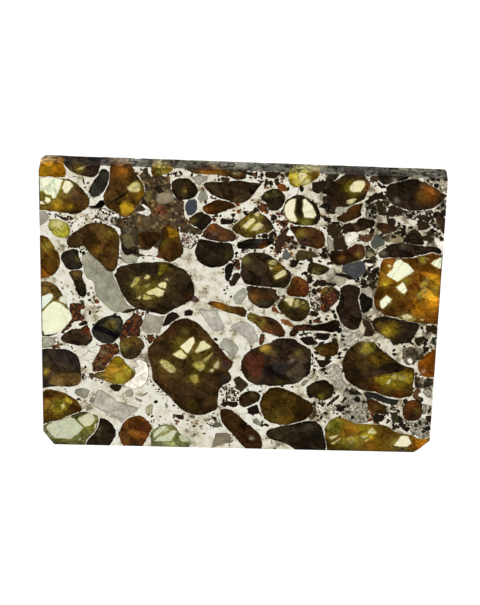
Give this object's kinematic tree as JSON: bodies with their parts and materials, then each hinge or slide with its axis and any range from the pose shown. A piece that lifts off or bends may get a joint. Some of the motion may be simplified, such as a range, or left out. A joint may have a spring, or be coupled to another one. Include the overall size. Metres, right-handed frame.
{
  "type": "pallasite meteorite slice",
  "caption": "Thin flat rectangular slice of stony-iron meteorite: a nickel-iron plate with see-through olivine crystals set through its whole thickness.",
  "frame": {"origin": "under the middle of the slice, on the plane of its back face", "axes": "+X along the length, +Y across the width, +Z out of the cut front face"},
  "size_m": [0.06, 0.048, 0.0031],
  "materials": {
    "nickel_iron": "ground and polished meteoritic nickel-iron",
    "dark_olivine": "polished, nearly opaque dark brown crystal",
    "brown_olivine": "polished brown crystal",
    "amber_olivine": "polished amber crystal",
    "yellow_olivine": "polished yellow-green crystal",
    "pale_olivine": "polished clear pale green crystal"
  },
  "bodies": {
    "root": {"metal_matrix": "nickel_iron", "olivine_top_dark_round": "dark_olivine", "olivine_top_dark_long": "dark_olivine", "olivine_top_dark_kidney": "dark_olivine", "olivine_top_right_large": "dark_olivine", "olivine_right_dark_cap": "dark_olivine", "olivine_left_dark": "dark_olivine", "olivine_left_brown_strip": "dark_olivine", "olivine_centre_dark_round": "dark_olivine", "olivine_centre_large_windowed": "dark_olivine", "olivine_upper_dark_tongue": "dark_olivine", "olivine_right_black_long": "dark_olivine", "olivine_left_lower_dark": "dark_olivine", "olivine_lower_slate": "dark_olivine", "olivine_lower_two_tone": "dark_olivine", "olivine_left_lower_large": "dark_olivine", "olivine_corner_dark": "dark_olivine", "olivine_lower_dark_round": "dark_olivine", "olivine_bottom_dark_large": "dark_olivine", "olivine_right_dark_bar": "dark_olivine", "olivine_right_dark_golden": "dark_olivine", "olivine_upper_oval_large": "dark_olivine", "olivine_lower_brown_large": "dark_olivine", "olivine_top_plum": "brown_olivine", "olivine_top_left_windowed": "brown_olivine", "olivine_top_brown_large": "brown_olivine", "olivine_left_brown_large": "brown_olivine", "olivine_top_edge_long": "brown_olivine", "olivine_upper_brown": "brown_olivine", "olivine_upper_brown_block": "brown_olivine", "olivine_upper_brown_crown": "brown_olivine", "olivine_upper_olive": "brown_olivine", "olivine_centre_brown_tail": "brown_olivine", "olivine_centre_brown_lower": "brown_olivine", "olivine_centre_red_brown": "brown_olivine", "olivine_upper_right_brown": "brown_olivine", "olivine_centre_largest": "brown_olivine", "olivine_lower_brown_oval": "brown_olivine", "olivine_bottom_brown_long": "brown_olivine", "olivine_bottom_rust_brown": "brown_olivine", "olivine_right_red_brown": "brown_olivine", "olivine_corner_orange": "amber_olivine", "olivine_left_amber_oval": "amber_olivine", "olivine_centre_amber_tail": "amber_olivine", "olivine_right_amber_large": "amber_olivine", "olivine_right_edge_orange": "amber_olivine", "olivine_left_gold": "amber_olivine", "olivine_right_large_glinting": "amber_olivine", "olivine_top_round_windowed": "yellow_olivine", "olivine_top_yellow": "yellow_olivine", "olivine_top_kite_windowed": "yellow_olivine", "olivine_upper_yellow_windowed": "yellow_olivine", "olivine_centre_olive_windowed": "yellow_olivine", "olivine_lower_yellow_kite": "yellow_olivine", "olivine_left_lime": "yellow_olivine", "olivine_right_olive_wedge": "yellow_olivine", "olivine_bottom_yellow_large": "yellow_olivine", "olivine_left_window_large": "pale_olivine", "olivine_corner_pale_green": "pale_olivine", "olivine_bottom_pale_green": "pale_olivine"}
  },
  "joints": []
}
